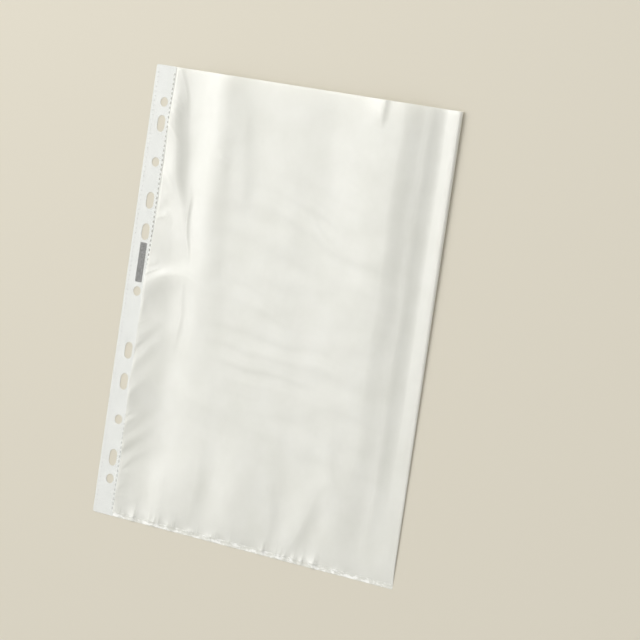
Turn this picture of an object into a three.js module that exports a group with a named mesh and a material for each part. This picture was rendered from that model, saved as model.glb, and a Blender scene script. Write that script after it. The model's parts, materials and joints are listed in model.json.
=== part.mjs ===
// Top-loading plastic sleeve for loose sheets, lying flat: a pocket of clear film, open at its top edge,
// with an opaque punched binding strip down its left side.
// Millimetres. +X runs from the binding strip to the folded side, +Y from the bottom weld to the open mouth,
// +Z off the front. The origin is under the middle of the sleeve, on the surface that it lies on.

import * as THREE from 'three';
import { mergeVertices } from 'three/addons/utils/BufferGeometryUtils.js';

// Overall size and film
const sleeveWidth = 235;
const sleeveLength = 285.75;
const filmThickness = 0.06;

// Binding strip, punched for rings and for lever arches
const stripWidth = 16;
const stripThickness = 0.12;
const stripCornerRadius = 1.2;
const holeWidth = 6;
const slotLength = 10.5;
const holeCentreFromEdge = 10;
const roundHolePlaces = [-120, -82, 0, 82, 120];
const slotPlaces = [-106.4, -57.7, -37.8, 37.8, 57.7, 106.4];
const segmentsPerHole = 24;

// Printed patch on the strip, between the middle hole and the slot above it
const patchWidth = 5.3;
const patchLength = 25;
const patchCentreY = 18.4;
const printThickness = 0.02;

// Heat welds through the strip: long dashes at its inner edge, small dots at its outer edge
const weldPitch = 3;
const weldEndMargin = 4;
const weldLine = 0.02;
const weldRelief = 0.08;
const dashLength = 1.8;
const dashWidth = 0.9;
const dashFromInnerEdge = 0.3;
const dotSize = 0.6;
const dotFromOuterEdge = 2.2;

// Flexing line between the strip and the pocket
const hingeGap = 0.3;
const frontEdgeGap = 0.5;

// Bottom weld, puckered where it was pulled together
const bottomWeldWidth = 3;
const puckerHeight = 0.45;
const puckerPitch = 11;
const puckerEndX = 85;
const puckerFade = 14;

// Folded side, which springs open into a round bend
const foldHeight = 2.6;
const foldSegments = 8;

// How the front film stands off the back film
const mouthGape = 4.7;
const bottomGape = 3.4;
const bottomRise = 60;
const leftRise = 36;
const rightRise = 28;
const foldValleyWidth = 12.5;
const foldValleyHeight = 1.4;
const foldLipWidth = 7;
const ridges = [
  { x: -65, height: 1.3, width: 9, heightAtBottom: 0.6 },
  { x: 73, height: 0.9, width: 13, heightAtBottom: 0.4 },
  { x: 95.5, height: 0.55, width: 4.5, heightAtBottom: 0.3 },
];
const gathers = [
  { x: -73, height: 1.1, width: 10, reach: 38 },
  { x: -24, height: 1.5, width: 13, reach: 60 },
  { x: 27, height: 1.1, width: 10, reach: 54 },
  { x: 66, height: 1.7, width: 17, reach: 34 },
];
const ripple = { height: 0.22, pitch: 24, slant: 0.28, topY: 60, fade: 45 };
const filmColumns = 36;
const filmRows = 20;
const rowGrading = 1.4;

// Places worked out from the sizes above
const outerX = -sleeveWidth / 2;
const innerX = outerX + stripWidth;
const foldX = sleeveWidth / 2;
const bottomY = -sleeveLength / 2;
const mouthY = sleeveLength / 2;
const pocketLeftX = innerX + hingeGap;
const weldTopY = bottomY + bottomWeldWidth;
const foldRadius = foldHeight / 2;
const foldCentreX = foldX - foldRadius;
const stripBottomZ = filmThickness;
const stripTopZ = stripBottomZ + stripThickness;
const marginTopZ = stripTopZ + filmThickness;
const holeX = outerX + holeCentreFromEdge;
const frontLeftX = innerX + frontEdgeGap;
const frontRightX = foldCentreX - hingeGap;
const frontBottomY = weldTopY + hingeGap;

const clearFilm = new THREE.MeshStandardMaterial({
  name: 'clear_film', color: 0xf4f4ea, roughness: 0.25, metalness: 0, transparent: true, opacity: 0.55,
});
const stripPlastic = new THREE.MeshStandardMaterial({
  name: 'white_strip', color: 0xe9eae6, roughness: 0.55, metalness: 0,
});
const weldedFilm = new THREE.MeshStandardMaterial({
  name: 'welded_film', color: 0xd6d5bd, roughness: 0.3, metalness: 0,
});
const greyPrint = new THREE.MeshStandardMaterial({
  name: 'grey_print', color: 0x7a7a75, roughness: 0.6, metalness: 0,
});

// Smooth step from 0 to 1 as t goes from 0 to 1.
function smooth(t) {
  const s = Math.min(1, Math.max(0, t));
  return s * s * (3 - 2 * s);
}

// Bell-shaped ridge of unit height about a line.
function bell(distance, width) {
  return Math.exp(-((distance / width) ** 2));
}

// Closed mesh with shared vertices, from a geometry whose faces only touch.
function closed(geometry) {
  geometry.deleteAttribute('normal');
  geometry.deleteAttribute('uv');
  const merged = mergeVertices(geometry, 1e-4);
  merged.computeVertexNormals();
  return merged;
}

function namedMesh(name, geometry, material) {
  const mesh = new THREE.Mesh(geometry, material);
  mesh.name = name;
  return mesh;
}

// Flat plate between two heights, from an outline in the sheet's plane.
function plate(outline, lowZ, highZ) {
  const geometry = new THREE.ExtrudeGeometry(outline, {
    depth: highZ - lowZ, bevelEnabled: false, curveSegments: segmentsPerHole / 4,
  });
  geometry.translate(0, 0, lowZ);
  return closed(geometry);
}

function rectangle(lowX, highX, lowY, highY) {
  const shape = new THREE.Shape();
  shape.moveTo(lowX, lowY);
  shape.lineTo(highX, lowY);
  shape.lineTo(highX, highY);
  shape.lineTo(lowX, highY);
  shape.closePath();
  return shape;
}

// Strip outline: rounded at its two outer corners, square where it meets the pocket.
function stripOutline() {
  const shape = new THREE.Shape();
  shape.moveTo(outerX + stripCornerRadius, bottomY);
  shape.lineTo(innerX, bottomY);
  shape.lineTo(innerX, mouthY);
  shape.lineTo(outerX + stripCornerRadius, mouthY);
  shape.absarc(outerX + stripCornerRadius, mouthY - stripCornerRadius, stripCornerRadius,
    Math.PI / 2, Math.PI, false);
  shape.lineTo(outerX, bottomY + stripCornerRadius);
  shape.absarc(outerX + stripCornerRadius, bottomY + stripCornerRadius, stripCornerRadius,
    Math.PI, 1.5 * Math.PI, false);
  return shape;
}

// Punched hole: round where length equals width, otherwise a slot along the strip.
function punchedHole(centreY, length) {
  const radius = holeWidth / 2;
  const straight = (length - holeWidth) / 2;
  const path = new THREE.Path();
  path.moveTo(holeX + radius, centreY + straight);
  path.absarc(holeX, centreY + straight, radius, 0, Math.PI, false);
  path.absarc(holeX, centreY - straight, radius, Math.PI, 2 * Math.PI, false);
  path.closePath();
  return path;
}

// One punched layer of the binding margin.
function punchedLayer(lowZ, highZ) {
  const outline = stripOutline();
  roundHolePlaces.forEach((y) => outline.holes.push(punchedHole(y, holeWidth)));
  slotPlaces.forEach((y) => outline.holes.push(punchedHole(y, slotLength)));
  return plate(outline, lowZ, highZ);
}

// Heat weld down the strip: one narrow pressed line of film, thicker at each of its marks.
function weldRow(centreX, width, markLength) {
  const run = sleeveLength - 2 * weldEndMargin;
  const count = Math.floor(run / weldPitch) + 1;
  const firstY = -((count - 1) * weldPitch) / 2;
  const profile = new THREE.Shape();
  profile.moveTo(firstY - weldPitch / 2, marginTopZ);
  profile.lineTo(firstY + (count - 0.5) * weldPitch, marginTopZ);
  profile.lineTo(firstY + (count - 0.5) * weldPitch, marginTopZ + weldLine);
  for (let index = count - 1; index >= 0; index -= 1) {
    const y = firstY + index * weldPitch;
    profile.lineTo(y + markLength / 2, marginTopZ + weldLine);
    profile.lineTo(y + markLength / 2, marginTopZ + weldRelief);
    profile.lineTo(y - markLength / 2, marginTopZ + weldRelief);
    profile.lineTo(y - markLength / 2, marginTopZ + weldLine);
  }
  profile.lineTo(firstY - weldPitch / 2, marginTopZ + weldLine);
  profile.closePath();
  const geometry = new THREE.ExtrudeGeometry(profile, { depth: width, bevelEnabled: false });
  const lengthwise = new THREE.Vector3(0, 1, 0);
  const upwards = new THREE.Vector3(0, 0, 1);
  const across = new THREE.Vector3(1, 0, 0);
  geometry.applyMatrix4(new THREE.Matrix4().makeBasis(lengthwise, upwards, across));
  geometry.translate(centreX - width / 2, 0, 0);
  return closed(geometry);
}

// Closed shell of film over a grid of columns and rows. The given point is on its inner side for side 0 and
// on its outer side for side 1, where the outer side lies to the left of a walk along a row of columns.
function filmShell(columns, rows, pointAt) {
  const across = columns.length;
  const along = rows.length;
  const layer = across * along;
  const positions = [];
  [0, 1].forEach((side) => {
    rows.forEach((row) => columns.forEach((column) => positions.push(...pointAt(column, row, side))));
  });
  const at = (row, column, side) => side * layer + row * across + column;
  const faces = [];
  const quad = (a, b, c, d) => faces.push(a, b, c, a, c, d);
  for (let row = 0; row < along - 1; row += 1) {
    for (let column = 0; column < across - 1; column += 1) {
      quad(at(row, column, 1), at(row, column + 1, 1), at(row + 1, column + 1, 1), at(row + 1, column, 1));
      quad(at(row, column, 0), at(row + 1, column, 0), at(row + 1, column + 1, 0), at(row, column + 1, 0));
    }
  }
  for (let column = 0; column < across - 1; column += 1) {
    quad(at(0, column, 0), at(0, column + 1, 0), at(0, column + 1, 1), at(0, column, 1));
    quad(at(along - 1, column + 1, 0), at(along - 1, column, 0), at(along - 1, column, 1),
      at(along - 1, column + 1, 1));
  }
  for (let row = 0; row < along - 1; row += 1) {
    quad(at(row + 1, 0, 0), at(row, 0, 0), at(row, 0, 1), at(row + 1, 0, 1));
    quad(at(row, across - 1, 0), at(row + 1, across - 1, 0), at(row + 1, across - 1, 1),
      at(row, across - 1, 1));
  }
  const geometry = new THREE.BufferGeometry();
  geometry.setAttribute('position', new THREE.Float32BufferAttribute(positions, 3));
  geometry.setIndex(faces);
  geometry.computeVertexNormals();
  return geometry;
}

// Sheet of film whose underside is a height over the plane, with its wall measured upwards.
function filmSheet(columnsX, rowsY, undersideAt, wall) {
  return filmShell(columnsX, rowsY, (x, y, side) => [x, y, undersideAt(x, y) + side * wall]);
}

// Places from low to high, both ends included, evenly spaced or, above a power of 1, closer near the low end.
function places(low, high, steps, power = 1) {
  return Array.from({ length: steps + 1 }, (_, index) => low + (high - low) * (index / steps) ** power);
}

// Height of the front film's underside over the surface that the sleeve lies on. The film rises as a pillow
// from the strip, from the valley beside the fold and from the bottom weld. On it stand long ridges that run
// up the sleeve, gathers that fan up from the weld, and slanting ripples across the middle.
function frontUnderside(x, y) {
  const fromBottom = y - frontBottomY;
  const up = fromBottom / (mouthY - frontBottomY);
  const fromLeft = smooth((x - frontLeftX) / leftRise);
  const fromRight = smooth((frontRightX - foldValleyWidth - x) / rightRise);
  const fromWeld = smooth(fromBottom / bottomRise);
  const gape = bottomGape + (mouthGape - bottomGape) * smooth(1.6 * up);
  const pillow = gape * fromLeft * fromRight * fromWeld;
  const ridgeHeight = ridges.reduce((sum, ridge) => sum
    + (ridge.heightAtBottom + (ridge.height - ridge.heightAtBottom) * up) * bell(x - ridge.x, ridge.width),
  0);
  const gatherHeight = gathers.reduce((sum, gather) => {
    const t = fromBottom / gather.reach;
    const width = gather.width * (1.25 - 0.6 * Math.min(1, t));
    return sum + gather.height * smooth(3 * t) * smooth(2 * (1 - t)) * bell(x - gather.x, width);
  }, 0);
  const rippleHeight = ripple.height * Math.sin((2 * Math.PI * (y + ripple.slant * x)) / ripple.pitch)
    * smooth((ripple.topY + ripple.fade - y) / ripple.fade) * fromLeft * fromRight;
  const weldLevel = filmThickness;
  const lip = (foldHeight - filmThickness - foldValleyHeight) * bell(frontRightX - x, foldLipWidth);
  const sideLevel = stripTopZ + (foldValleyHeight - stripTopZ) * (1 - fromRight) + lip;
  return weldLevel + (sideLevel - weldLevel) * smooth(fromBottom / foldValleyWidth) + pillow
    + (ridgeHeight + rippleHeight) * fromWeld + gatherHeight;
}

// Pucker height of the bottom weld, fading out before the folded side.
function weldPucker(x) {
  const fade = smooth((puckerEndX - x) / puckerFade) * smooth((x - pocketLeftX) / puckerFade);
  return puckerHeight * fade * (0.5 - 0.5 * Math.cos((2 * Math.PI * (x - pocketLeftX)) / puckerPitch));
}

// Height of the round bend, which closes down to the weld at its bottom end.
function bendHeight(y) {
  return Math.max(3 * filmThickness, frontUnderside(frontRightX, Math.max(y, frontBottomY)) + filmThickness);
}

// Half of the folded side: a quarter of the round bend, carried along the sleeve from the weld to the mouth.
function quarterBend(startAngle) {
  const angles = places(startAngle, startAngle - Math.PI / 2, foldSegments / 2);
  const rows = places(weldTopY, mouthY, filmRows, rowGrading);
  return filmShell(angles, rows, (angle, y, side) => {
    const wall = (1 - side) * filmThickness;
    const halfHeight = bendHeight(y) / 2;
    const x = foldCentreX + (foldRadius - wall) * Math.cos(angle);
    return [x, y, halfHeight + (halfHeight - wall) * Math.sin(angle)];
  });
}

function bindingMargin() {
  const margin = new THREE.Group();
  const dashX = innerX - dashFromInnerEdge - dashWidth / 2;
  const dotX = outerX + dotFromOuterEdge;
  const patch = rectangle(holeX - patchWidth / 2, holeX + patchWidth / 2,
    patchCentreY - patchLength / 2, patchCentreY + patchLength / 2);
  margin.add(
    namedMesh('margin_film_back', punchedLayer(0, stripBottomZ), clearFilm),
    namedMesh('binding_strip', punchedLayer(stripBottomZ, stripTopZ), stripPlastic),
    namedMesh('margin_film_front', punchedLayer(stripTopZ, marginTopZ), clearFilm),
    namedMesh('inner_weld_dashes', weldRow(dashX, dashWidth, dashLength), weldedFilm),
    namedMesh('outer_weld_dots', weldRow(dotX, dotSize, dotSize), weldedFilm),
    namedMesh('label_patch', plate(patch, marginTopZ, marginTopZ + printThickness), greyPrint),
  );
  return margin;
}

function pocketBack() {
  const back = new THREE.Group();
  const weldColumns = places(pocketLeftX, foldX, Math.round((4 * (foldX - pocketLeftX)) / puckerPitch));
  back.add(
    namedMesh('back_film', plate(rectangle(pocketLeftX, foldCentreX, weldTopY, mouthY), 0, filmThickness),
      clearFilm),
    namedMesh('side_fold_back', quarterBend(0), clearFilm),
    namedMesh('side_fold_front', quarterBend(Math.PI / 2), clearFilm),
    namedMesh('bottom_weld', filmSheet(weldColumns, [bottomY, weldTopY], weldPucker, 2 * filmThickness),
      weldedFilm),
  );
  return back;
}

function pocketFront() {
  const columns = places(frontLeftX, frontRightX, filmColumns);
  const rows = places(frontBottomY, mouthY, filmRows, rowGrading);
  return namedMesh('front_film', filmSheet(columns, rows, frontUnderside, filmThickness), clearFilm);
}

const sleeve = new THREE.Group();
sleeve.add(bindingMargin(), pocketBack(), pocketFront());

export default sleeve;
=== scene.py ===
"""Clear top-loading plastic sleeve, lying flat: film pocket, punched binding strip and heat welds.

Metres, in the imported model's frame: +X from the binding strip to the folded side, +Y from the bottom weld
to the open mouth, +Z off the front film.
"""

import json
import math

import bpy
import numpy as np
from mathutils import Matrix, Vector

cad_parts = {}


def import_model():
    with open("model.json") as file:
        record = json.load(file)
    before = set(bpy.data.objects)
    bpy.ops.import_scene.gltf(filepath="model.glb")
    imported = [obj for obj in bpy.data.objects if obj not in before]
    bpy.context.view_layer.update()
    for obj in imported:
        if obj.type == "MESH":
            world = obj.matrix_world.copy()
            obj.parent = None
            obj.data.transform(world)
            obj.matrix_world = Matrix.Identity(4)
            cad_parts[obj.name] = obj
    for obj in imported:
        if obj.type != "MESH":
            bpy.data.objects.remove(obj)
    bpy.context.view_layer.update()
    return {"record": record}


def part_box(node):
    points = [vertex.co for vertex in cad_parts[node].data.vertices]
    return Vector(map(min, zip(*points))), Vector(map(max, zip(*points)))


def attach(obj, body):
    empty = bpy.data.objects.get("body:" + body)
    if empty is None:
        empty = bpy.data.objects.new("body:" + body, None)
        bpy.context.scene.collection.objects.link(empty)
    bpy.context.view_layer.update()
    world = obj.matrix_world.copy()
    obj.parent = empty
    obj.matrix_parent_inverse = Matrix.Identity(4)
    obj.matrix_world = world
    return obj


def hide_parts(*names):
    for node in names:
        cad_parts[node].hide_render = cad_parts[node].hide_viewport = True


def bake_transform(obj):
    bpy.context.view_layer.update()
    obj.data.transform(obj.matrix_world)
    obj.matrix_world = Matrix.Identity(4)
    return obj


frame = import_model()

MM = 0.001

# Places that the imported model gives
strip_low, strip_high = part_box("binding_strip")
margin_low, margin_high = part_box("margin_film_front")
under_low, under_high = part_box("margin_film_back")
weld_low, weld_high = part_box("bottom_weld")
bend_low, bend_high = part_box("side_fold_front")
dash_low, dash_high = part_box("inner_weld_dashes")
dot_low, dot_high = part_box("outer_weld_dots")
patch_low, patch_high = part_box("label_patch")

FILM = under_high.z - under_low.z
OUTER_X = strip_low.x
HINGE_X = strip_high.x
BEND_X = bend_low.x
FOLD_X = bend_high.x
FOLD_HEIGHT = bend_high.z
BOTTOM_Y = weld_low.y
WELD_TOP_Y = weld_high.y
MOUTH_Y = strip_high.y
CENTRE_X = (HINGE_X + BEND_X) / 2
STRIP_TOP = strip_high.z

# The films start just past the hinge line, so that their roots clear the margin when the page turns
ROOT_GAP = 0.15 * MM
ROOT_X = HINGE_X + ROOT_GAP

# Front film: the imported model's pillow, lowered to leave room for the finer ridges and folds on it
MOUTH_GAPE = 3.0 * MM
BOTTOM_GAPE = 2.2 * MM
BOTTOM_RISE = 85 * MM
LEFT_RISE = 42 * MM
LEFT_FLAT = (23 * MM, 7 * MM)
RIGHT_FALLS = [(102 * MM, 25 * MM), (108 * MM, 13 * MM)]
VALLEY_HEIGHT = 0.9 * MM
LIP_WIDTH = 8 * MM
LEAST_GAP = 0.15 * MM
STRIP_EASE = 3 * MM
BEND_EASE = 6 * MM
WELD_EASE = 7 * MM

# Changes from the bottom weld to the mouth, by the share of the way up: how fast and how late each runs
GAPE_CHANGE = (1.6, 0.0)
FLAT_CHANGE = (1.5, 0.5)
RIDGE_CHANGE = (1.5, 0.25)

# Long ridges up the sleeve, in millimetres: place, widths to the left and to the right, and heights near
# the weld and at the mouth
LONG_RIDGES = [
    (-58, 13, 14, 0.3, 1.8),
    (4, 30, 14, 0.0, 0.5),
    (77, 34, 15, 0.2, 2.3),
    (95.5, 4, 5, 0.15, 0.25),
]

# Welt beside the strip: its fall widens up to the turn, where its height, which goes with its fall, starts
# to fade. The turn and the fade's length are shares of the way up.
WELT_START = 0.25 * MM
WELT_RISE = 1.1 * MM
WELT_FALLS = (11 * MM, 25 * MM)
WELT_STEEPNESS = 0.19
WELT_POWER = 1.4
WELT_TURN = 0.45
WELT_FADE = 0.75
WELT_FADE_LENGTH = 0.25

# Waves of the welt's height: its even share, then each wave's share, length over 2 pi in millimetres and
# phase
WELT_EVEN_SHARE = 0.8
WELT_WAVES = [(0.12, 13, 0.4), (0.07, 5.3, 0.0)]

# Folds seen in the front film, in millimetres: start, end, sideways bow, widths to the left and to the
# right of the line, and height
SEEN_FOLDS = [
    ((-106, 154), (-71, 30), -2.5, 7.0, 10.0, 2.9),
    ((-101, 150), (-86, 108), 1.0, 2.2, 5.0, 0.45),
    ((-106, -1), (-54, 9), 12.0, 5.0, 9.0, 0.95),
    ((-75, 78), (-70.5, 20), 0.0, 2.4, 9.0, 0.7),
    ((-73, 20), (-69, -38), 1.0, 3.2, 11.0, 0.5),
    ((-100, 52), (-84, 44), 2.0, 3.0, 4.0, 0.3),
    ((-102, 78), (-86, 64), 2.0, 2.5, 4.0, 0.22),
    ((-60, 96), (-44, 88), 1.0, 3.0, 5.0, 0.22),
    ((-46, 156), (-31, 38), 0.0, 8.0, 10.0, 0.6),
    ((14, 140), (27, 50), 0.0, 9.0, 12.0, 0.16),
    ((12, 74), (50, 44), -3.0, 3.5, 5.0, 0.3),
    ((28, 116), (64, 96), 2.0, 4.5, 6.5, 0.22),
    ((36, 94), (70, 76), 2.5, 4.0, 6.0, 0.2),
    ((-20, 98), (16, 74), 2.0, 5.0, 7.0, 0.2),
    ((-64, -88), (-63, -165), 0.0, 22.0, 9.0, 1.0),
    ((-41, -74), (-41, -170), 0.0, 8.0, 14.0, 0.8),
    ((-12, -66), (-6, -170), 0.0, 22.0, 18.0, 1.7),
    ((18, -84), (19, -170), 0.0, 7.5, 16.0, 0.7),
    ((63, -80), (20, -168), 0.0, 7.0, 12.0, 0.95),
    ((72, -66), (72, -165), 0.0, 14.0, 16.0, 1.0),
    ((53, -56), (75, -106), -3.0, 5.0, 8.0, 0.3),
    ((66, 154), (60, 126), 0.0, 3.0, 7.0, 1.0),
]

# Share of a fold's length over which it swells, and over which it dies away
FOLD_TAPER = 0.4

# Sideways wandering of the folds: height and lengths over 2 pi along x and y in millimetres, and phase
WANDER_X = [(1.3, 31, 15, 0.0), (0.6, -14, 6.1, 1.7)]
WANDER_Y = [(1.3, 17, -37, 0.6), (0.6, 6.7, 11, 0.0)]

# Slanting pleats beside the lower strip. The drift is a phase and its length over 2 pi, and the swell is
# the even share of their height, the uneven share and its length over 2 pi.
PLEAT_HEIGHT = 0.2 * MM
PLEAT_PITCH = 16 * MM
PLEAT_SLANT = 0.75
PLEAT_REACH = 17 * MM
PLEAT_TOP_Y = 4 * MM
PLEAT_FADE = 30 * MM
PLEAT_DRIFT = (1.6, 17 * MM)
PLEAT_SWELL = (0.6, 0.4, 9 * MM)

# Short folds beside the strip: ranges of slope in degrees, and of length, width, height and bow in
# millimetres. They slope down to the right above the turn, and the tuck is the share behind the hinge.
SHORT_FOLD_COUNT = 26
SHORT_FOLD_MARGIN = 8 * MM
SHORT_FOLD_TURN_Y = 55 * MM
SHORT_FOLD_SLOPES = (18, 58)
SHORT_FOLD_LENGTHS = (16, 34)
SHORT_FOLD_WIDTHS = (1.3, 3.0)
SHORT_FOLD_HEIGHTS = (0.04, 0.2)
SHORT_FOLD_BOWS = (-2.5, 2.5)
SHORT_FOLD_TUCK = 0.35

# Soft ripples: ranges in millimetres and degrees, with spread and height as shares of the wavelength. The
# slant grows by the added slant from the middle of the sleeve up to RIPPLE_TOP_Y.
RIPPLE_COUNT = 52
RIPPLE_PLACES_X = (-38, 80)
RIPPLE_PLACES_Y = (-85, 80)
RIPPLE_SLANTS = (-3, 9)
RIPPLE_ADDED_SLANT = 14
RIPPLE_TOP_Y = 70 * MM
RIPPLE_ARCHES = (150, 400)
RIPPLE_HALF_LENGTHS = (18, 50)
RIPPLE_WAVELENGTHS = (11, 25)
RIPPLE_SPREADS = (0.5, 1.0)
RIPPLE_HEIGHTS = (0.0022, 0.0053)

# Crinkled places of the bottom weld, in millimetres: place and spread
PUCKER_CLUSTERS = [
    (-96, 4), (-81, 3.5), (-68, 5), (-53, 3.5), (-36, 5), (-20, 5), (-2, 6), (15, 5), (33, 5), (46, 4),
    (59, 6), (76, 5),
]

# Puckers: ranges of the widths to the left and to the right and of the reach in millimetres, and of the
# height as a share of the left width. The back film takes a share of them and drops them sooner.
PUCKERS_EACH = 4
PUCKER_LEFT_WIDTHS = (1.4, 4.5)
PUCKER_RIGHT_WIDTHS = (0.6, 1.6)
PUCKER_HEIGHTS = (0.04, 0.13)
PUCKER_REACHES = (1.2, 5)
PUCKER_WIDENING = 0.9
BACK_PUCKER_SHARE = 0.8
BACK_PUCKER_HURRY = 2.5

# Slight unevenness of the film: range of wavelengths in millimetres, and the height at the usual one
SOFT_WAVE_COUNT = 28
SOFT_WAVELENGTHS = (7, 38)
SOFT_WAVE_USUAL = 20 * MM
SOFT_WAVE_HEIGHT = 0.006 * MM

# Folded side's least height, the share of the puckers at the bottom weld's lower edge, and the weld's mean
# wall and its change across the band, both in films
LEAST_FOLD_HEIGHT = 2.2 * FILM
WELD_EDGE_SHARE = 0.35
WELD_MEAN_FILMS = 1.4
WELD_FILMS_CHANGE = 0.6

# Creasing: the bend, per metre, that whitens the film fully, and the folded side's share of it. The whitening
# is partly real crease whitening and partly a painted highlight that shows the wrinkles under any light.
FULL_CREASE_AND_HIGHLIGHT_BEND = 220.0
FOLDED_CREASE_AND_HIGHLIGHT = 0.8

# Grids of the film pieces, and the steps over which slopes and bends are measured
FRONT_COLUMNS = 160
FRONT_ROWS = 300
BACK_COLUMNS = 240
BACK_ROWS = 120
WELD_COLUMNS = 620
WELD_ROWS = 12
BEND_STEPS = 14
FRONT_GRADING = 1.15
BACK_GRADING = 2.0
SLOPE_STEP = 0.01 * MM
CREASE_STEP = 0.4 * MM
RIM_ANGLE = math.radians(50)

# Punched margin: a slot is clearly longer than it is wide, and the punch leaves a lip round each hole
HOLE_WIDTH = 6 * MM
SLOT_LENGTH = 10.5 * MM
SLOT_RATIO = 1.5
HOLE_LIP = 0.025 * MM
HOLE_LIP_WIDTH = 0.5 * MM
STRIP_CORNER = 1.2 * MM
LAYER_GAP = 0.008 * MM
STRIP_SPACING = 0.7 * MM
HOLE_RINGS = 9
RING_GRADING = 1.8
SAME_PLACE = 1e-9
NO_DISTANCE = 1e-12

# Weld marks along the margin: the edge is a share of a mark's height, the squeeze and the wander of its size
WELD_PITCH = 3 * MM
DASH_LENGTH = 1.5 * MM
DOT_LENGTH = 0.7 * MM
MARK_STEPS = 7
MARK_POWER = 6
MARK_EDGE = 0.15
MARK_SQUEEZE = 0.12
MARK_WANDER = 0.04

# Printed patch: its ragged edge's share of the width and two speeds, and how far its ends and sides are
# drawn in, with the power of that
INK = 0.012 * MM
PATCH_COLUMNS = 24
PATCH_ROWS = 90
PATCH_RAGGED = (0.02, 97, 31)
PATCH_END_ROUNDING = (0.03, 40)
PATCH_SIDE_ROUNDING = (0.006, 16)

# Colours of the finishes, as pairs that noise mixes
FRONT_COLOURS = ((0.93, 0.93, 0.86), (0.96, 0.96, 0.90))
BACK_COLOURS = ((0.93, 0.93, 0.86), (0.95, 0.95, 0.90))
MARGIN_COLOURS = ((0.84, 0.85, 0.82), (0.88, 0.89, 0.87))
STRIP_COLOURS = ((0.77, 0.78, 0.75), (0.81, 0.82, 0.795))
DASH_COLOURS = ((0.64, 0.64, 0.59), (0.54, 0.54, 0.48))
DOT_COLOURS = ((0.68, 0.68, 0.65), (0.60, 0.60, 0.56))
# The bottom weld's milky film, and the white of the painted glints along it
WELD_FILM_AND_GLINT_COLOURS = ((0.86, 0.86, 0.79), (0.95, 0.95, 0.91))
INK_COLOURS = ((0.17, 0.17, 0.165), (0.30, 0.30, 0.29))

# How opaque the films are where they are flat and where they are creased, and how far haze changes that.
# The creased opacity is partly real crease whitening and partly a painted highlight on the wrinkles.
POCKET_ALPHAS = (0.56, 0.68)
MARGIN_ALPHAS = (0.12, 0.3)
HAZE_ALPHA = 0.015

# How opaque the marks down the strip are at the lower and the upper end of the stretch where that changes
DASH_ALPHAS = (0.12, 0.62)
DOT_ALPHAS = (0.1, 0.34)
MARK_FADE_STRETCH = (-70 * MM, 70 * MM)

FILM_GLOSS = {
    "IOR": 1.5, "Specular IOR Level": 0.8, "Coat Weight": 1.0, "Coat Roughness": 0.14, "Coat IOR": 1.7,
}
MARK_GLOSS = {"Coat Weight": 1.0, "Coat Roughness": 0.1}
BOTTOM_WELD_GLOSS = {"Coat Weight": 1.0, "Coat Roughness": 0.14}

# Floor, camera and light
FLOOR_COLOUR = (0.68, 0.64, 0.54)
FLOOR_FINISH = {"Roughness": 0.9, "Specular IOR Level": 0.2}
FLOOR_SIZE = 40
FLOOR_GAP = 0.02 * MM
CAMERA_PLACE = (1.2110, 0.1655, 1.6242)
CAMERA_FORWARD = Vector((-0.5842, -0.0795, -0.8077))
CAMERA_UP = Vector((-0.1653, 0.9860, 0.0225))
CAMERA_CLIP = (0.05, 60)
SENSOR_WIDTH = 36
FOCAL_PIXELS = 3331
PICTURE_WIDTH = 640
ROOM_COLOUR = (1.0, 0.995, 0.98, 1)
ROOM_LEVEL = 0.58
WINDOW_LEVEL = 2.35
WINDOW_AZIMUTH = math.radians(22)
WINDOW_HEIGHT = math.radians(16)
WINDOW_EDGE = math.radians(60)
WINDOW_CORE = math.radians(8)
SILL_HEIGHTS = (math.radians(12), math.radians(24))
SOFTBOX_PLACE = Vector((-0.55, 0.75, 0.75))
SOFTBOX_SIZE = 0.9
SOFTBOX_WATTS = 4.2

random = np.random.default_rng(7917)


def smooth(t):
    """Smooth step: 3 t squared less 2 t cubed, with t held between 0 and 1."""
    t = np.clip(t, 0, 1)
    return t * t * (3 - 2 * t)


def step_up(up, speed, delay):
    """Smooth step of the share of the way up the sleeve, times a speed and less a delay."""
    return smooth(speed * up - delay)


def bell(distance, width):
    """Ridge of unit height: e to the power of minus the square of distance over width."""
    return np.exp(-((distance / width) ** 2))


def lopsided_bell(distance, behind, ahead):
    """A bell with one width where the distance is negative and another where it is positive."""
    return bell(distance, np.where(distance < 0, behind, ahead))


def fold(x, y, start, end, bow, left, right, height):
    """One fold: a lopsided bell across a line that bows to its left by a parabola.

    Its height is a smooth step up from the start times one up from the end.
    """
    (ax, ay), (bx, by) = start, end
    length = math.hypot(bx - ax, by - ay)
    ux, uy = (bx - ax) / length, (by - ay) / length
    along = ((x - ax) * ux + (y - ay) * uy) / length
    across = (y - ay) * ux - (x - ax) * uy - 4 * bow * along * (1 - along)
    taper = smooth(along / FOLD_TAPER) * smooth((1 - along) / FOLD_TAPER)
    return height * taper * lopsided_bell(across, right, left)


def random_short_folds():
    """Short folds that the dashed weld pulls into the film, rising or falling to the right."""
    count = SHORT_FOLD_COUNT
    middle = random.uniform(BOTTOM_Y + SHORT_FOLD_MARGIN, MOUTH_Y - SHORT_FOLD_MARGIN, count)
    way = np.where(middle > SHORT_FOLD_TURN_Y, -1, 1)
    slope = np.radians(way * random.uniform(*SHORT_FOLD_SLOPES, count))
    length = random.uniform(*SHORT_FOLD_LENGTHS, count) * MM
    width = random.uniform(*SHORT_FOLD_WIDTHS, (2, count)) * MM
    height = random.uniform(*SHORT_FOLD_HEIGHTS, count) * MM
    bow = random.uniform(*SHORT_FOLD_BOWS, count) * MM
    folds = []
    for index in range(count):
        dx, dy = length[index] * np.cos(slope[index]), length[index] * np.sin(slope[index])
        start = (HINGE_X - SHORT_FOLD_TUCK * dx, middle[index] - SHORT_FOLD_TUCK * dy)
        end = (start[0] + dx, start[1] + dy)
        folds.append((start, end, bow[index], width[0, index], width[1, index], height[index]))
    return folds


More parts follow.
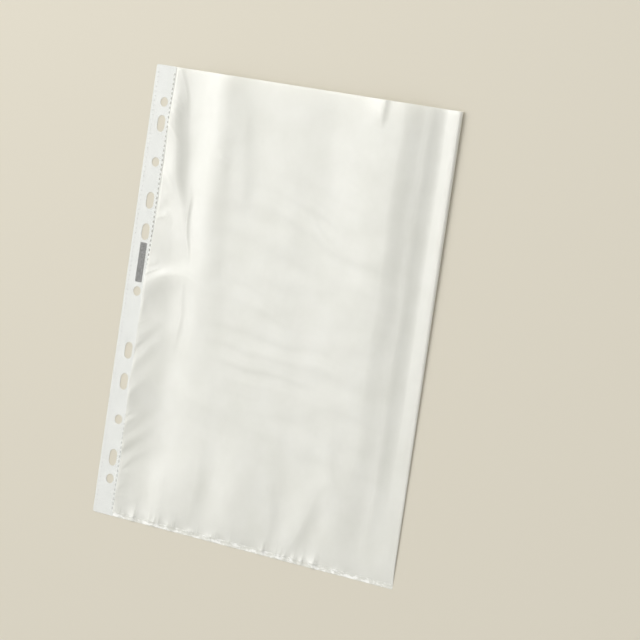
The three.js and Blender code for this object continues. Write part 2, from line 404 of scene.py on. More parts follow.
def random_ripples():
    """Soft ripples: place, slant, arch's radius, half lengths along and across, wavelength, height, phase."""
    place_x = random.uniform(*RIPPLE_PLACES_X, RIPPLE_COUNT) * MM
    place_y = random.uniform(*RIPPLE_PLACES_Y, RIPPLE_COUNT) * MM
    added = RIPPLE_ADDED_SLANT * np.clip(place_y / RIPPLE_TOP_Y, 0, 1)
    slant = -np.radians(random.uniform(*RIPPLE_SLANTS, RIPPLE_COUNT) + added)
    arch = random.uniform(*RIPPLE_ARCHES, RIPPLE_COUNT) * MM
    along = random.uniform(*RIPPLE_HALF_LENGTHS, RIPPLE_COUNT) * MM
    wave = random.uniform(*RIPPLE_WAVELENGTHS, RIPPLE_COUNT) * MM
    across = wave * random.uniform(*RIPPLE_SPREADS, RIPPLE_COUNT)
    height = wave * random.uniform(*RIPPLE_HEIGHTS, RIPPLE_COUNT)
    phase = random.uniform(0, 2 * math.pi, RIPPLE_COUNT)
    return list(zip(place_x, place_y, slant, arch, along, across, wave, height, phase))


def random_puckers():
    """Puckers of the bottom weld: place, widths to the left and right, height and reach up the film."""
    middles, spreads = np.repeat(PUCKER_CLUSTERS, PUCKERS_EACH, axis=0).T
    count = len(middles)
    places = (middles + spreads * random.uniform(-1, 1, count)) * MM
    behind = random.uniform(*PUCKER_LEFT_WIDTHS, count) * MM
    ahead = random.uniform(*PUCKER_RIGHT_WIDTHS, count) * MM
    heights = behind * random.uniform(*PUCKER_HEIGHTS, count)
    reaches = random.uniform(*PUCKER_REACHES, count) * MM
    return list(zip(places, behind, ahead, heights, reaches))


def random_soft_waves():
    """Directions, wavelengths and phases of the film's slight unevenness."""
    angles = random.uniform(0, math.pi, SOFT_WAVE_COUNT)
    lengths = random.uniform(*SOFT_WAVELENGTHS, SOFT_WAVE_COUNT) * MM
    phases = random.uniform(0, 2 * math.pi, SOFT_WAVE_COUNT)
    return list(zip(angles, lengths, phases))


SHORT_FOLDS = random_short_folds()
RIPPLES = random_ripples()
PUCKERS = random_puckers()
SOFT_WAVES = random_soft_waves()


def plane_waves(waves, x, y):
    """Sum of sine waves: each a height times the sine of x and y over their lengths, plus a phase."""
    return sum(
        height * np.sin(x / (length_x * MM) + y / (length_y * MM) + phase)
        for height, length_x, length_y, phase in waves
    )


def wandered(x, y):
    """The place moved sideways by slow sine waves, so that no fold runs quite straight."""
    return x + plane_waves(WANDER_X, x, y) * MM, y + plane_waves(WANDER_Y, x, y) * MM


def weld_pucker(x, from_weld=0.0):
    """Height of the puckers: lopsided bells across x, each widening and dying away upwards from the weld."""
    total = np.zeros(np.broadcast(x, from_weld).shape)
    for place, behind, ahead, height, reach in PUCKERS:
        widening = 1 + PUCKER_WIDENING * from_weld / reach
        across = lopsided_bell(x - place, behind * widening, ahead * widening)
        total = total + height * across * np.exp(-from_weld / reach)
    return total


def soft_waves(x, y):
    """Slight unevenness: a sum of plane waves, each as high as its wavelength over the usual one makes it."""
    total = np.zeros(np.broadcast(x, y).shape)
    for angle, length, phase in SOFT_WAVES:
        along = x * math.cos(angle) + y * math.sin(angle)
        height = SOFT_WAVE_HEIGHT * (length / SOFT_WAVE_USUAL)
        total = total + height * np.sin(2 * math.pi * along / length + phase)
    return total


def ripple_height(x, y):
    """Each ripple is a cosine across a slanting line that arches by a parabola, under two bells."""
    total = np.zeros(np.broadcast(x, y).shape)
    for place_x, place_y, slant, arch, along, across, wave, height, phase in RIPPLES:
        u = (x - place_x) * math.cos(slant) + (y - place_y) * math.sin(slant)
        v = (y - place_y) * math.cos(slant) - (x - place_x) * math.sin(slant) + u ** 2 / (2 * arch)
        total = total + height * bell(u, along) * bell(v, across) * np.cos(2 * math.pi * v / wave + phase)
    return total


def pleat_height(x, y):
    """Slanting pleats beside the lower strip: a wave up the slant that dies away from the dashed weld.

    The wave drifts by a slow sine up the strip and swells by another up the slant, and a smooth step ends
    it towards its top.
    """
    from_strip = x - HINGE_X
    up_slant = y - PLEAT_SLANT * from_strip
    drift, drift_length = PLEAT_DRIFT
    even, uneven, swell_length = PLEAT_SWELL
    wave = np.cos(2 * math.pi * up_slant / PLEAT_PITCH + drift * np.sin(y / drift_length))
    window = smooth((PLEAT_TOP_Y - y) / PLEAT_FADE) * (even + uneven * np.sin(up_slant / swell_length))
    return PLEAT_HEIGHT * wave * bell(from_strip, PLEAT_REACH) * window


def fold_height(x, y):
    """Pleats and folds of the front film together, seen folds and short ones."""
    total = pleat_height(x, y)
    for start, end, *sizes in SEEN_FOLDS:
        ends = [(px * MM, py * MM) for px, py in (start, end)]
        total = total + fold(x, y, *ends, *[size * MM for size in sizes])
    for short in SHORT_FOLDS:
        total = total + fold(x, y, *short)
    return total


def ridge_height(x, y, up):
    """Long ridges: lopsided bells across, each with a smooth step from its low height to its high one."""
    total = np.zeros(np.broadcast(x, y).shape)
    for place, behind, ahead, low, high in LONG_RIDGES:
        height = low + (high - low) * step_up(up, *RIDGE_CHANGE)
        total = total + height * MM * lopsided_bell(x - place * MM, behind * MM, ahead * MM)
    return total


def welt_height(x, y, up):
    """Welt beside the strip: a quick smooth step up, then e to minus a power of distance over fall.

    Its height is a steepness times its fall, less a share of it past the turn, times an even share and two
    slow sines up the strip.
    """
    low, high = WELT_FALLS
    fall = low + (high - low) * smooth(up / WELT_TURN)
    height = WELT_STEEPNESS * fall * (1 - WELT_FADE * smooth((up - WELT_TURN) / WELT_FADE_LENGTH))
    waves = (share * np.sin(y / (length * MM) + phase) for share, length, phase in WELT_WAVES)
    from_start = x - HINGE_X - WELT_START
    past_crest = np.maximum(from_start - WELT_RISE, 0)
    across = smooth(from_start / WELT_RISE) * np.exp(-((past_crest / fall) ** WELT_POWER))
    return height * sum(waves, WELT_EVEN_SHARE) * across


def back_topside(x, y):
    """Height of the back film's upper side: flat, but lifted by the puckers beside the bottom weld."""
    return FILM + BACK_PUCKER_SHARE * weld_pucker(x, np.maximum(y - WELD_TOP_Y, 0) * BACK_PUCKER_HURRY)


def front_underside(x, y):
    """Height of the front film's underside.

    A pillow that rises from the strip, from the valley beside the fold and from the bottom weld, plus long
    ridges, a welt, folds, pleats, ripples, puckers and a slight unevenness. Beside the fold a lip climbs
    out of the valley, and it grows from the weld to the mouth. The film is kept off the back film by a
    smooth maximum: half of the gap, plus half the root of the gap's square and of the square of twice the
    least gap.
    """
    from_weld = y - WELD_TOP_Y
    up = from_weld / (MOUTH_Y - WELD_TOP_Y)
    low_flat, high_flat = LEFT_FLAT
    more_flat = (high_flat - low_flat) * step_up(up, *FLAT_CHANGE)
    left = smooth((x - HINGE_X - low_flat - more_flat) / LEFT_RISE)
    right = sum(smooth((place - x) / width) for place, width in RIGHT_FALLS) / len(RIGHT_FALLS)
    bottom = smooth(from_weld / BOTTOM_RISE)
    gape = BOTTOM_GAPE + (MOUTH_GAPE - BOTTOM_GAPE) * step_up(up, *GAPE_CHANGE)
    off_weld = 1 - np.exp(-np.maximum(from_weld, 0) / WELD_EASE)
    edge = smooth((x - HINGE_X) / STRIP_EASE) * smooth((BEND_X - x) / BEND_EASE) * off_weld
    wander_x, wander_y = wandered(x, y)
    height = gape * left * right * bottom
    height = height + ripple_height(wander_x, wander_y) * left * right * bottom
    ridges = edge * ridge_height(wander_x, y, up) + welt_height(x, y, up)
    height = height + ridges * off_weld
    height = height + edge * (fold_height(wander_x, wander_y) + soft_waves(x, y))
    lip = (FOLD_HEIGHT - FILM - VALLEY_HEIGHT) * smooth(up) * bell(BEND_X - x, LIP_WIDTH)
    side = STRIP_TOP + (VALLEY_HEIGHT - STRIP_TOP) * (1 - right) + lip
    height = height + FILM + (side - FILM) * off_weld + weld_pucker(x, from_weld)
    back = back_topside(x, y)
    gap = height - back
    return back + (gap + np.sqrt(gap ** 2 + (2 * LEAST_GAP * edge) ** 2)) / 2


def bend_height(y):
    """Full height of the folded side, which closes down to the weld at its bottom end."""
    return front_underside(np.full_like(y, BEND_X), y) + FILM


def rows_up(count, grading):
    """Places from the weld's top to the mouth, closer together near the weld: a power of an even spacing."""
    return WELD_TOP_Y + (MOUTH_Y - WELD_TOP_Y) * np.linspace(0, 1, count) ** grading


def grid_quads(rows, columns, first=0, flip=False):
    """Quads over a grid of rows and columns of points, numbered row by row from first."""
    index = first + np.arange(rows * columns).reshape(rows, columns)
    quads = np.stack([index[:-1, :-1], index[:-1, 1:], index[1:, 1:], index[1:, :-1]], -1).reshape(-1, 4)
    return quads[:, ::-1] if flip else quads


def rim_quads(path_a, path_b, closed=False):
    """Quads between two lines of point numbers of the same length."""
    if closed:
        path_a, path_b = np.append(path_a, path_a[0]), np.append(path_b, path_b[0])
    return np.stack([path_a[:-1], path_a[1:], path_b[1:], path_b[:-1]], -1)


def piece(name, points, quads, material, body, record_slot, nodes, normals=None):
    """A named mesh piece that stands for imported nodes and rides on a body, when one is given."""
    mesh = bpy.data.meshes.new(name)
    mesh.from_pydata(points.reshape(-1, 3).tolist(), [], quads.tolist())
    mesh.update()
    mesh.polygons.foreach_set("use_smooth", [True] * len(mesh.polygons))
    if normals is None:
        mesh.set_sharp_from_angle(angle=RIM_ANGLE)
    else:
        mesh.normals_split_custom_set_from_vertices(normals.reshape(-1, 3).tolist())
    mesh.materials.append(material)
    made = bpy.data.objects.new(name, mesh)
    bpy.context.scene.collection.objects.link(made)
    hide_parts(*nodes)
    if body:
        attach(made, body)
    return made


def shell(outer, inner):
    """Points and quads of a closed shell from its outer and inner grids of points.

    The outer faces point to where the columns are seen to run to the right and the rows to run up.
    """
    rows, columns = outer.shape[:2]
    count = rows * columns
    index = np.arange(count).reshape(rows, columns)
    border = np.concatenate([index[0, :-1], index[:-1, -1], index[-1, :0:-1], index[:0:-1, 0]])
    points = np.concatenate([outer.reshape(-1, 3), inner.reshape(-1, 3)])
    quads = np.concatenate([
        grid_quads(rows, columns),
        grid_quads(rows, columns, count, flip=True),
        rim_quads(border + count, border, closed=True),
    ])
    return points, quads


def sheet(x, y, top, bottom):
    """Shell of a sheet over a grid in plan, from the heights of its two sides."""
    return shell(np.stack([x, y, top], -1), np.stack([x, y, bottom], -1))


def merged(points, quads, step=1e-7):
    """The same mesh with points that coincide to within a step made one."""
    _, first, number = np.unique(np.round(points / step).astype(np.int64), axis=0, return_index=True,
                                 return_inverse=True)
    return points[first], number.reshape(-1)[quads]


def upward_normals(height, x, y):
    """Unit normals of a height function, from its slopes over a small step each way."""
    step = SLOPE_STEP
    slope_x = (height(x + step, y) - height(x - step, y)) / (2 * step)
    slope_y = (height(x, y + step) - height(x, y - step)) / (2 * step)
    normals = np.stack([-slope_x, -slope_y, np.ones_like(x)], -1)
    return normals / np.linalg.norm(normals, axis=-1, keepdims=True)


def bend_of(height, x, y):
    """How sharply a height function bends, per metre: the sum of its second slopes' sizes."""
    step = CREASE_STEP
    middle = 2 * height(x, y)
    across = height(x + step, y) + height(x - step, y) - middle
    along = height(x, y + step) + height(x, y - step) - middle
    return (np.abs(across) + np.abs(along)) / step ** 2


def set_crease_and_highlight(made, values):
    """Keeps how much the film is creased at each point, for its material, which whitens it there: partly real
    crease whitening, partly a painted highlight on the wrinkles.
    """
    attribute = made.data.attributes.new("crease_and_highlight", "FLOAT", "POINT")
    attribute.data.foreach_set("value", np.asarray(values, np.float32).reshape(-1))


# Materials


def new_material(name):
    """A new node material, with its tree and its Principled shader."""
    material = bpy.data.materials.new(name)
    material.use_nodes = True
    tree = material.node_tree
    return material, tree, tree.nodes["Principled BSDF"]


def add_node(tree, kind, **values):
    """A new node with its settings and, by name, the values of its inputs."""
    node = tree.nodes.new(kind)
    for key, value in values.items():
        if hasattr(node, key):
            setattr(node, key, value)
        else:
            node.inputs[key.replace("_", " ")].default_value = value
    return node


def set_sockets(node, values):
    """Sets a node's own sockets, by their names."""
    for name, value in values.items():
        node.inputs[name].default_value = value


def object_noise(tree, scale, detail=4.0, roughness=0.55, stretch=None):
    """Noise on the object's own coordinates, drawn out along an axis where a stretch is below 1."""
    place = add_node(tree, "ShaderNodeTexCoord").outputs["Object"]
    if stretch:
        mapping = add_node(tree, "ShaderNodeMapping", Scale=stretch)
        tree.links.new(place, mapping.inputs["Vector"])
        place = mapping.outputs["Vector"]
    noise = add_node(tree, "ShaderNodeTexNoise", Scale=scale, Detail=detail, Roughness=roughness)
    tree.links.new(place, noise.inputs["Vector"])
    return noise.outputs["Fac"]


def ranged(tree, source, low, high, start=0.3, end=0.7):
    """A value carried from start..end to low..high. Most of a noise lies between 0.3 and 0.7."""
    remap = add_node(tree, "ShaderNodeMapRange")
    set_sockets(remap, {"From Min": start, "From Max": end, "To Min": low, "To Max": high})
    tree.links.new(source, remap.inputs["Value"])
    return remap.outputs["Result"]


def add_bump(tree, shader, height, distance):
    """Bump from a height, in metres at full height."""
    bump = add_node(tree, "ShaderNodeBump", Strength=1.0, Distance=distance)
    tree.links.new(height, bump.inputs["Height"])
    tree.links.new(bump.outputs["Normal"], shader.inputs["Normal"])


def add_colour(tree, shader, factor, colours):
    """Base colour between the two of a pair, by a factor."""
    mix = tree.nodes.new("ShaderNodeMix")
    mix.data_type = "RGBA"
    for name, colour in zip("AB", colours):
        mix.inputs[name].default_value = (*colour, 1)
    tree.links.new(factor, mix.inputs["Factor"])
    tree.links.new(mix.outputs["Result"], shader.inputs["Base Color"])


def combined(tree, operation, first, second):
    """Two values added or multiplied, held between 0 and 1."""
    node = add_node(tree, "ShaderNodeMath", operation=operation, use_clamp=True)
    tree.links.new(first, node.inputs[0])
    tree.links.new(second, node.inputs[1])
    return node.outputs["Value"]


def film_material(name, colours, flat_alpha, crease_and_highlight_alpha):
    """Semi-clear film: milky scatter and a gloss over what lies behind, whiter where it is creased: partly
    real crease whitening, partly a painted highlight that shows the wrinkles under any light.
    """
    material, tree, shader = new_material(name)
    haze = object_noise(tree, scale=38.0)
    add_colour(tree, shader, ranged(tree, haze, low=0.0, high=1.0), colours)
    crease_and_highlight = add_node(tree, "ShaderNodeAttribute", attribute_name="crease_and_highlight")
    hazy = ranged(tree, haze, flat_alpha - HAZE_ALPHA, flat_alpha + HAZE_ALPHA)
    # Painted highlight on the wrinkles, with real crease whitening: more opaque, so whiter, where the film
    # bends
    crease_and_highlight_gain = ranged(tree, crease_and_highlight.outputs["Fac"], 0.0, crease_and_highlight_alpha - flat_alpha, start=0.0, end=1.0)
    tree.links.new(combined(tree, "ADD", hazy, crease_and_highlight_gain), shader.inputs["Alpha"])
    scuffs = object_noise(tree, scale=210.0, detail=3.0)
    tree.links.new(ranged(tree, scuffs, low=0.29, high=0.36), shader.inputs["Roughness"])
    add_bump(tree, shader, object_noise(tree, scale=260.0, detail=1.0), distance=0.001 * MM)
    set_sockets(shader, FILM_GLOSS)
    return material


def strip_material():
    """Opaque white strip: cool white with faint clouds and a fine matt grain."""
    material, tree, shader = new_material("strip_plastic")
    clouds = object_noise(tree, scale=55.0)
    add_colour(tree, shader, ranged(tree, clouds, low=0, high=1), STRIP_COLOURS)
    grain = object_noise(tree, scale=1500.0, detail=3.0)
    tree.links.new(ranged(tree, grain, low=0.45, high=0.6), shader.inputs["Roughness"])
    add_bump(tree, shader, grain, distance=0.006 * MM)
    return material


def mark_material(name, colours, lower_alpha, upper_alpha):
    """Fused film of the marks down the strip: pressed clear, so darker and glossier, with a pressed grain.

    The marks grow more opaque up the strip, so they show less over the lower half.
    """
    material, tree, shader = new_material(name)
    grain = object_noise(tree, scale=900.0)
    add_colour(tree, shader, ranged(tree, grain, low=0, high=1), colours)
    place = add_node(tree, "ShaderNodeTexCoord")
    parts = tree.nodes.new("ShaderNodeSeparateXYZ")
    tree.links.new(place.outputs["Object"], parts.inputs["Vector"])
    # The marks grow more opaque from the bottom up the strip
    up_the_strip = ranged(tree, parts.outputs["Y"], lower_alpha, upper_alpha, *MARK_FADE_STRETCH)
    uneven = ranged(tree, grain, low=0.85, high=1.15)
    tree.links.new(combined(tree, "MULTIPLY", up_the_strip, uneven), shader.inputs["Alpha"])
    tree.links.new(ranged(tree, grain, low=0.12, high=0.3), shader.inputs["Roughness"])
    add_bump(tree, shader, grain, distance=0.01 * MM)
    set_sockets(shader, MARK_GLOSS)
    return material


def bottom_weld_material():
    """Pressed end of the pocket: milky film with painted glints, white flecks that lie along the weld."""
    material, tree, shader = new_material("bottom_weld")
    flecks = object_noise(tree, scale=420.0, detail=3.0, roughness=0.6, stretch=(0.4, 1, 1))
    # Painted glints: white, more opaque flecks along the weld in place of its highlights
    painted_glints = ranged(tree, flecks, low=0.0, high=1.0, start=0.48, end=0.62)
    add_colour(tree, shader, painted_glints, WELD_FILM_AND_GLINT_COLOURS)
    tree.links.new(ranged(tree, painted_glints, low=0.7, high=0.92, start=0.0, end=1.0), shader.inputs["Alpha"])
    tree.links.new(ranged(tree, flecks, low=0.32, high=0.45), shader.inputs["Roughness"])
    add_bump(tree, shader, flecks, distance=0.035 * MM)
    set_sockets(shader, BOTTOM_WELD_GLOSS)
    return material


def print_material():
    """Plain grey ink: mottled, and thinner in fine flecks."""
    material, tree, shader = new_material("grey_ink")
    flecks = object_noise(tree, scale=1800.0, detail=2.0)
    add_colour(tree, shader, ranged(tree, flecks, low=0, high=1, start=0.42, end=0.62), INK_COLOURS)
    clouds = object_noise(tree, scale=300.0)
    tree.links.new(ranged(tree, clouds, low=0.35, high=0.55), shader.inputs["Roughness"])
    return material


front_film_finish = film_material("front_film", FRONT_COLOURS, *POCKET_ALPHAS)
back_film_finish = film_material("back_film", BACK_COLOURS, *POCKET_ALPHAS)
margin_finish = film_material("margin_film", MARGIN_COLOURS, *MARGIN_ALPHAS)
strip_finish = strip_material()
bottom_weld_finish = bottom_weld_material()
dash_finish = mark_material("weld_dashes", DASH_COLOURS, *DASH_ALPHAS)
dot_finish = mark_material("weld_dots", DOT_COLOURS, *DOT_ALPHAS)
ink_finish = print_material()


# Front film, folded side, back film and bottom weld


def front_half(name, low_x, high_x):
    """Half of the front film: its underside height over a grid, and the film's wall above it.

    Its normals come from the height function, so that the two halves shade as one where they meet.
    """
    x, y = np.meshgrid(np.linspace(low_x, high_x, FRONT_COLUMNS), rows_up(FRONT_ROWS, FRONT_GRADING))
    underside = front_underside(x, y)
    up = upward_normals(front_underside, x, y).reshape(-1, 3)
    made = piece(name, *sheet(x, y, underside + FILM, underside), front_film_finish, None, "film",
                 ["front_film"], np.concatenate([up, -up]))
    # Whiter where the film bends: real crease whitening and a painted highlight on the wrinkles
    set_crease_and_highlight(made, np.tile(np.clip(bend_of(front_underside, x, y) / FULL_CREASE_AND_HIGHLIGHT_BEND, 0, 1).reshape(-1), 2))
    return made


def folded_side():
    """Round bend: half an ellipse, as high as the film beside it, carried up the sleeve."""
    angles = np.linspace(math.pi / 2, -math.pi / 2, BEND_STEPS)
    angle, y = np.meshgrid(angles, rows_up(FRONT_ROWS, FRONT_GRADING))
    half = np.maximum(bend_height(y), LEAST_FOLD_HEIGHT) / 2

    def surface(wall):
        x = BEND_X + (FOLD_X - BEND_X - wall) * np.cos(angle)
        return np.stack([x, y, half + (half - wall) * np.sin(angle)], -1)

    made = piece("folded_side", *shell(surface(0), surface(FILM)), front_film_finish, "pocket", "film",
                 ["side_fold_front", "side_fold_back"])
    # The folded side evenly whiter: real crease whitening and a painted highlight along the fold
    set_crease_and_highlight(made, np.full(2 * angle.size, FOLDED_CREASE_AND_HIGHLIGHT))


def back_panel():
    """Back film: its upper side over a grid, and the film's wall below it."""
    x, y = np.meshgrid(np.linspace(ROOT_X, BEND_X, BACK_COLUMNS), rows_up(BACK_ROWS, BACK_GRADING))
    top = back_topside(x, y)
    made = piece("back_panel", *sheet(x, y, top, top - FILM), back_film_finish, "pocket", "film",
                 ["back_film"])
    set_crease_and_highlight(made, np.zeros(2 * x.size))


def pressed_weld():
    """Bottom weld: two films fused into one puckered band, thinner where the bar pressed it.

    Its wall is a mean one plus a cosine across the band, and its puckers fade evenly to its lower edge.
    """
    columns = np.linspace(ROOT_X, FOLD_X, WELD_COLUMNS)
    rows = np.linspace(BOTTOM_Y, WELD_TOP_Y, WELD_ROWS)
    x, y = np.meshgrid(columns, rows)
    across = (y - BOTTOM_Y) / (WELD_TOP_Y - BOTTOM_Y)
    share = WELD_EDGE_SHARE + (1 - WELD_EDGE_SHARE) * across
    underside = weld_pucker(x) * share * BACK_PUCKER_SHARE
    wall = FILM * (WELD_MEAN_FILMS + WELD_FILMS_CHANGE * np.cos(2 * math.pi * across))
    piece("pressed_bottom_weld", *sheet(x, y, underside + wall, underside), bottom_weld_finish, "pocket",
          "weld", ["bottom_weld"])


# Binding margin


def punched_holes():
    """Middle of each opening in the strip, from the bottom up, and whether it is a slot.

    The places come from the openings that the record states.
    """
    holes = []
    for opening in frame["record"]["physics"]["openings"]:
        (low_x, low_y, _), (high_x, high_y, _) = opening["box_m"]
        if high_x < HINGE_X:
            slotted = high_y - low_y > SLOT_RATIO * (high_x - low_x)
            holes.append(((low_x + high_x) / 2, (low_y + high_y) / 2, slotted))
    return sorted(holes, key=lambda hole: hole[1])


def hole_plan(hole, low_y, high_y):
    """Plan of one hole's cell of the strip: rings of points from the hole's outline to the cell's border.

    Lines run from points round the border to the nearest points of the outline: the hole's middle line,
    pushed out by half its width. The rings lie closer together near the hole.
    """
    hole_x, hole_y, slotted = hole
    columns = np.linspace(OUTER_X, HINGE_X, round((HINGE_X - OUTER_X) / STRIP_SPACING) + 1)
    side = np.linspace(low_y, high_y, round((high_y - low_y) / STRIP_SPACING) + 1)
    border_x = np.concatenate([columns[:-1], np.full(len(side) - 1, HINGE_X), columns[:0:-1],
                               np.full(len(side) - 1, OUTER_X)])
    border_y = np.concatenate([np.full(len(columns) - 1, low_y), side[:-1],
                               np.full(len(columns) - 1, high_y), side[:0:-1]])
    straight = (SLOT_LENGTH - HOLE_WIDTH) / 2 if slotted else 0
    line_y = hole_y + np.clip(border_y - hole_y, -straight, straight)
    away = np.stack([border_x - hole_x, border_y - line_y], -1)
    away = away / np.linalg.norm(away, axis=-1, keepdims=True)
    rim = np.stack([np.full_like(line_y, hole_x), line_y], -1) + away * HOLE_WIDTH / 2
    border = np.stack([border_x, border_y], -1)
    outwards = np.linspace(0, 1, HOLE_RINGS) ** RING_GRADING
    return rim[None] + (border - rim)[None] * outwards[:, None, None]


def rounded_corners(x, y):
    """The strip's two outer corners drawn in: each corner square is mapped onto a quarter disc."""
    for end in (-1, 1):
        corner_x = OUTER_X + STRIP_CORNER
        corner_y = (MOUTH_Y if end > 0 else BOTTOM_Y) - end * STRIP_CORNER
        dx, dy = x - corner_x, (y - corner_y) * end
        inside = (dx < 0) & (dy > 0)
        far = np.maximum(np.abs(dx), np.abs(dy)) / np.maximum(np.hypot(dx, dy), NO_DISTANCE)
        x = np.where(inside, corner_x + dx * far, x)
        y = np.where(inside, corner_y + end * dy * far, y)
    return x, y


def outer_stretch(border):
    """Which steps round a cell's border lie on the strip's own outline rather than on the next cell."""
    step_end = np.roll(border, -1, axis=0)
    on_side = np.abs(border[:, 0] - step_end[:, 0]) < SAME_PLACE
    on_ends = [
        np.abs(border[:, 1] - y) + np.abs(step_end[:, 1] - y) < SAME_PLACE for y in (BOTTOM_Y, MOUTH_Y)
    ]
    return on_side | on_ends[0] | on_ends[1]


def punched_layer(name, low_z, high_z, lip, material, record_slot, node):
    """A punched layer of the margin, with a lip round each hole: a bell of the distance from the hole."""
    middles = [hole[1] for hole in HOLES]
    cuts = [BOTTOM_Y, *[(a + b) / 2 for a, b in zip(middles[:-1], middles[1:])], MOUTH_Y]
    points, quads, start = [], [], 0
    for hole, low_y, high_y in zip(HOLES, cuts[:-1], cuts[1:]):
        plan = hole_plan(hole, low_y, high_y)
        rings, count = plan.shape[:2]
        x, y = rounded_corners(plan[..., 0], plan[..., 1])
        from_rim = np.linalg.norm(plan - plan[:1], axis=-1)
        top = np.stack([x, y, high_z + lip * bell(from_rim, HOLE_LIP_WIDTH)], -1)
        bottom = np.stack([x, y, np.full_like(x, low_z)], -1)
        ring = np.arange(rings * count).reshape(rings, count)
        ring = np.concatenate([ring, ring[:, :1]], axis=1)
        face = np.stack([ring[:-1, 1:], ring[:-1, :-1], ring[1:, :-1], ring[1:, 1:]], -1).reshape(-1, 4)
        size = rings * count
        outside = rim_quads(ring[-1] + start + size, ring[-1] + start)
        points += [top.reshape(-1, 3), bottom.reshape(-1, 3)]
        quads += [face + start, face[:, ::-1] + start + size,
                  rim_quads(ring[0] + start, ring[0] + start + size), outside[outer_stretch(plan[-1])]]
        start += 2 * size
    piece(name, *merged(np.concatenate(points), np.concatenate(quads)), material, "binding", record_slot,
          [node])


def weld_marks(name, low, high, length, material, node):
    """Pressed marks in a row: each one a pillow whose height falls off as a high power towards its edge."""
    count = int(round((high.y - low.y) / WELD_PITCH))
    across = np.linspace(-1, 1, MARK_STEPS)
    u, v = np.meshgrid(across, across)
    swell = (1 - u ** MARK_POWER) * (1 - v ** MARK_POWER)
    squeezed_u = u * np.sqrt(1 - MARK_SQUEEZE * v ** 2)
    squeezed_v = v * np.sqrt(1 - MARK_SQUEEZE * u ** 2)
    middle_x = (low.x + high.x) / 2
    half_width = (high.x - low.x) / 2
    base = low.z + LAYER_GAP
    top = base + (high.z - base) * (MARK_EDGE + (1 - MARK_EDGE) * swell)
    points, quads, start = [], [], 0
    for index in range(count):
        wander = random.uniform(-MARK_WANDER, MARK_WANDER, 2)
        y = low.y + (index + 0.5) * WELD_PITCH + squeezed_v * length / 2 * (1 + wander[0])
        x = middle_x + wander[1] * half_width + squeezed_u * half_width
        mark_points, mark_quads = sheet(x, y, top, np.full_like(x, base))
        points.append(mark_points)
        quads.append(mark_quads + start)
        start += len(mark_points)
    piece(name, np.concatenate(points), np.concatenate(quads), material, "binding", "weld", [node])


def label_patch():
    """Plain printed patch: a thin film of ink with rounded corners and a slightly uneven edge.

    Its ends and sides are drawn in by a high power of the place across, and its width by two fast sines.
    """
    u, v = np.meshgrid(np.linspace(-1, 1, PATCH_COLUMNS), np.linspace(-1, 1, PATCH_ROWS))
    middle = (patch_low + patch_high) / 2
    half = (patch_high - patch_low) / 2
    ragged_share, fast, slow = PATCH_RAGGED
    end_share, end_power = PATCH_END_ROUNDING
    side_share, side_power = PATCH_SIDE_ROUNDING
    ragged = ragged_share * np.sin(fast * v) * np.sin(slow * v + 1) * half.x
    x = middle.x + u * (half.x + ragged) * (1 - end_share * np.abs(v) ** end_power)
    y = middle.y + v * half.y * (1 - side_share * np.abs(u) ** side_power)
    base = np.full_like(x, patch_low.z + LAYER_GAP)
    piece("printed_patch", *sheet(x, y, base + INK, base), ink_finish, "binding", "print", ["label_patch"])


HOLES = punched_holes()

left_front = front_half("front_film_left", ROOT_X, CENTRE_X)
right_front = front_half("front_film_right", CENTRE_X, BEND_X)
folded_side()
back_panel()
pressed_weld()
punched_layer("strip_layer", strip_low.z + LAYER_GAP, strip_high.z - LAYER_GAP, 0, strip_finish, "strip",
              "binding_strip")
punched_layer("margin_over_strip", margin_low.z, margin_high.z, HOLE_LIP, margin_finish, "film",
              "margin_film_front")
punched_layer("margin_under_strip", under_low.z, under_high.z, 0, margin_finish, "film", "margin_film_back")
weld_marks("inner_weld_marks", dash_low, dash_high, DASH_LENGTH, dash_finish, "inner_weld_dashes")
weld_marks("outer_weld_marks", dot_low, dot_high, DOT_LENGTH, dot_finish, "outer_weld_dots")
label_patch()

for half, start_x, end_x, bodies in (
    (left_front, ROOT_X, CENTRE_X, ("pocket", "front")),
    (right_front, CENTRE_X, BEND_X, ("front", "pocket")),
):
    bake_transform(half)


# Floor, camera and lights


def floor():
    """Plain pale floor, a little below the sleeve's underside."""
    material, _, shader = new_material("pale_floor")
    set_sockets(shader, {"Base Color": (*FLOOR_COLOUR, 1), **FLOOR_FINISH})
    bpy.ops.mesh.primitive_plane_add(size=FLOOR_SIZE, location=(0, 0, -FLOOR_GAP))
    plane = bpy.context.object
    plane.name = "floor"
    plane.data.materials.append(material)


def camera():
    """Camera fitted to the photograph: place, aim and lens, over the sleeve's middle."""
    data = bpy.data.cameras.new("camera")
    data.sensor_width = SENSOR_WIDTH
    data.lens = SENSOR_WIDTH * FOCAL_PIXELS / PICTURE_WIDTH
    data.clip_start, data.clip_end = CAMERA_CLIP
    made = bpy.data.objects.new("camera", data)
    bpy.context.scene.collection.objects.link(made)
    forward = CAMERA_FORWARD.normalized()
    right = forward.cross(CAMERA_UP).normalized()
    axes = Matrix((right, right.cross(forward).normalized(), -forward)).transposed()
    made.matrix_world = Matrix.Translation(CAMERA_PLACE) @ axes.to_4x4()
    bpy.context.scene.camera = made


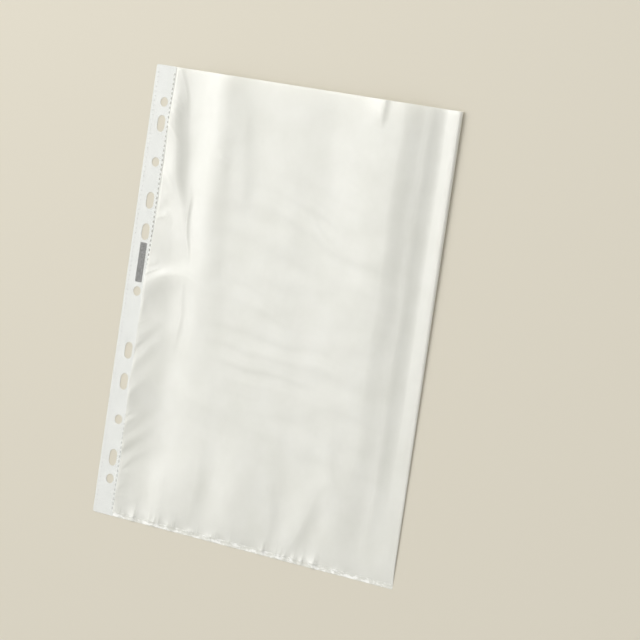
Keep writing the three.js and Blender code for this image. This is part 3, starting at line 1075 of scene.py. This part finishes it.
def softbox():
    """Square soft lamp behind and to the left of the mouth, aimed at the sleeve's middle."""
    data = bpy.data.lights.new("softbox", "AREA")
    data.shape = "SQUARE"
    data.size = SOFTBOX_SIZE
    data.energy = SOFTBOX_WATTS
    made = bpy.data.objects.new("softbox", data)
    made.location = SOFTBOX_PLACE
    made.rotation_euler = (-SOFTBOX_PLACE).to_track_quat("-Z", "Y").to_euler()
    bpy.context.scene.collection.objects.link(made)


def world():
    """Even pale surroundings with a wide soft window, low beyond the binding strip.

    The window's level is a smooth step of the cosine of the angle from its middle, from its edge to its
    core, times a smooth step of the height above the horizon, so that it fades out towards its sill.
    """
    made = bpy.data.worlds.new("studio")
    bpy.context.scene.world = made
    made.use_nodes = True
    tree = made.node_tree
    background = tree.nodes["Background"]
    background.inputs["Color"].default_value = ROOM_COLOUR
    direction = add_node(tree, "ShaderNodeTexCoord")
    cosine = add_node(tree, "ShaderNodeVectorMath", operation="DOT_PRODUCT")
    cosine.inputs[1].default_value = (
        -math.cos(WINDOW_HEIGHT) * math.cos(WINDOW_AZIMUTH),
        math.cos(WINDOW_HEIGHT) * math.sin(WINDOW_AZIMUTH),
        math.sin(WINDOW_HEIGHT),
    )
    tree.links.new(direction.outputs["Generated"], cosine.inputs[0])
    height = tree.nodes.new("ShaderNodeSeparateXYZ")
    tree.links.new(direction.outputs["Generated"], height.inputs["Vector"])
    steps = []
    for source, start, end in (
        (cosine.outputs["Value"], math.cos(WINDOW_EDGE), math.cos(WINDOW_CORE)),
        (height.outputs["Z"], *[math.sin(angle) for angle in SILL_HEIGHTS]),
    ):
        step = add_node(tree, "ShaderNodeMapRange", interpolation_type="SMOOTHSTEP")
        set_sockets(step, {"From Min": start, "From Max": end})
        tree.links.new(source, step.inputs["Value"])
        steps.append(step.outputs["Result"])
    window = add_node(tree, "ShaderNodeMath", operation="MULTIPLY")
    for step, socket in zip(steps, window.inputs):
        tree.links.new(step, socket)
    level = add_node(tree, "ShaderNodeMath", operation="MULTIPLY_ADD")
    tree.links.new(window.outputs["Value"], level.inputs[0])
    level.inputs[1].default_value = WINDOW_LEVEL
    level.inputs[2].default_value = ROOM_LEVEL
    tree.links.new(level.outputs["Value"], background.inputs["Strength"])


floor()
camera()
softbox()
world()
bpy.context.scene.view_settings.view_transform = "Standard"
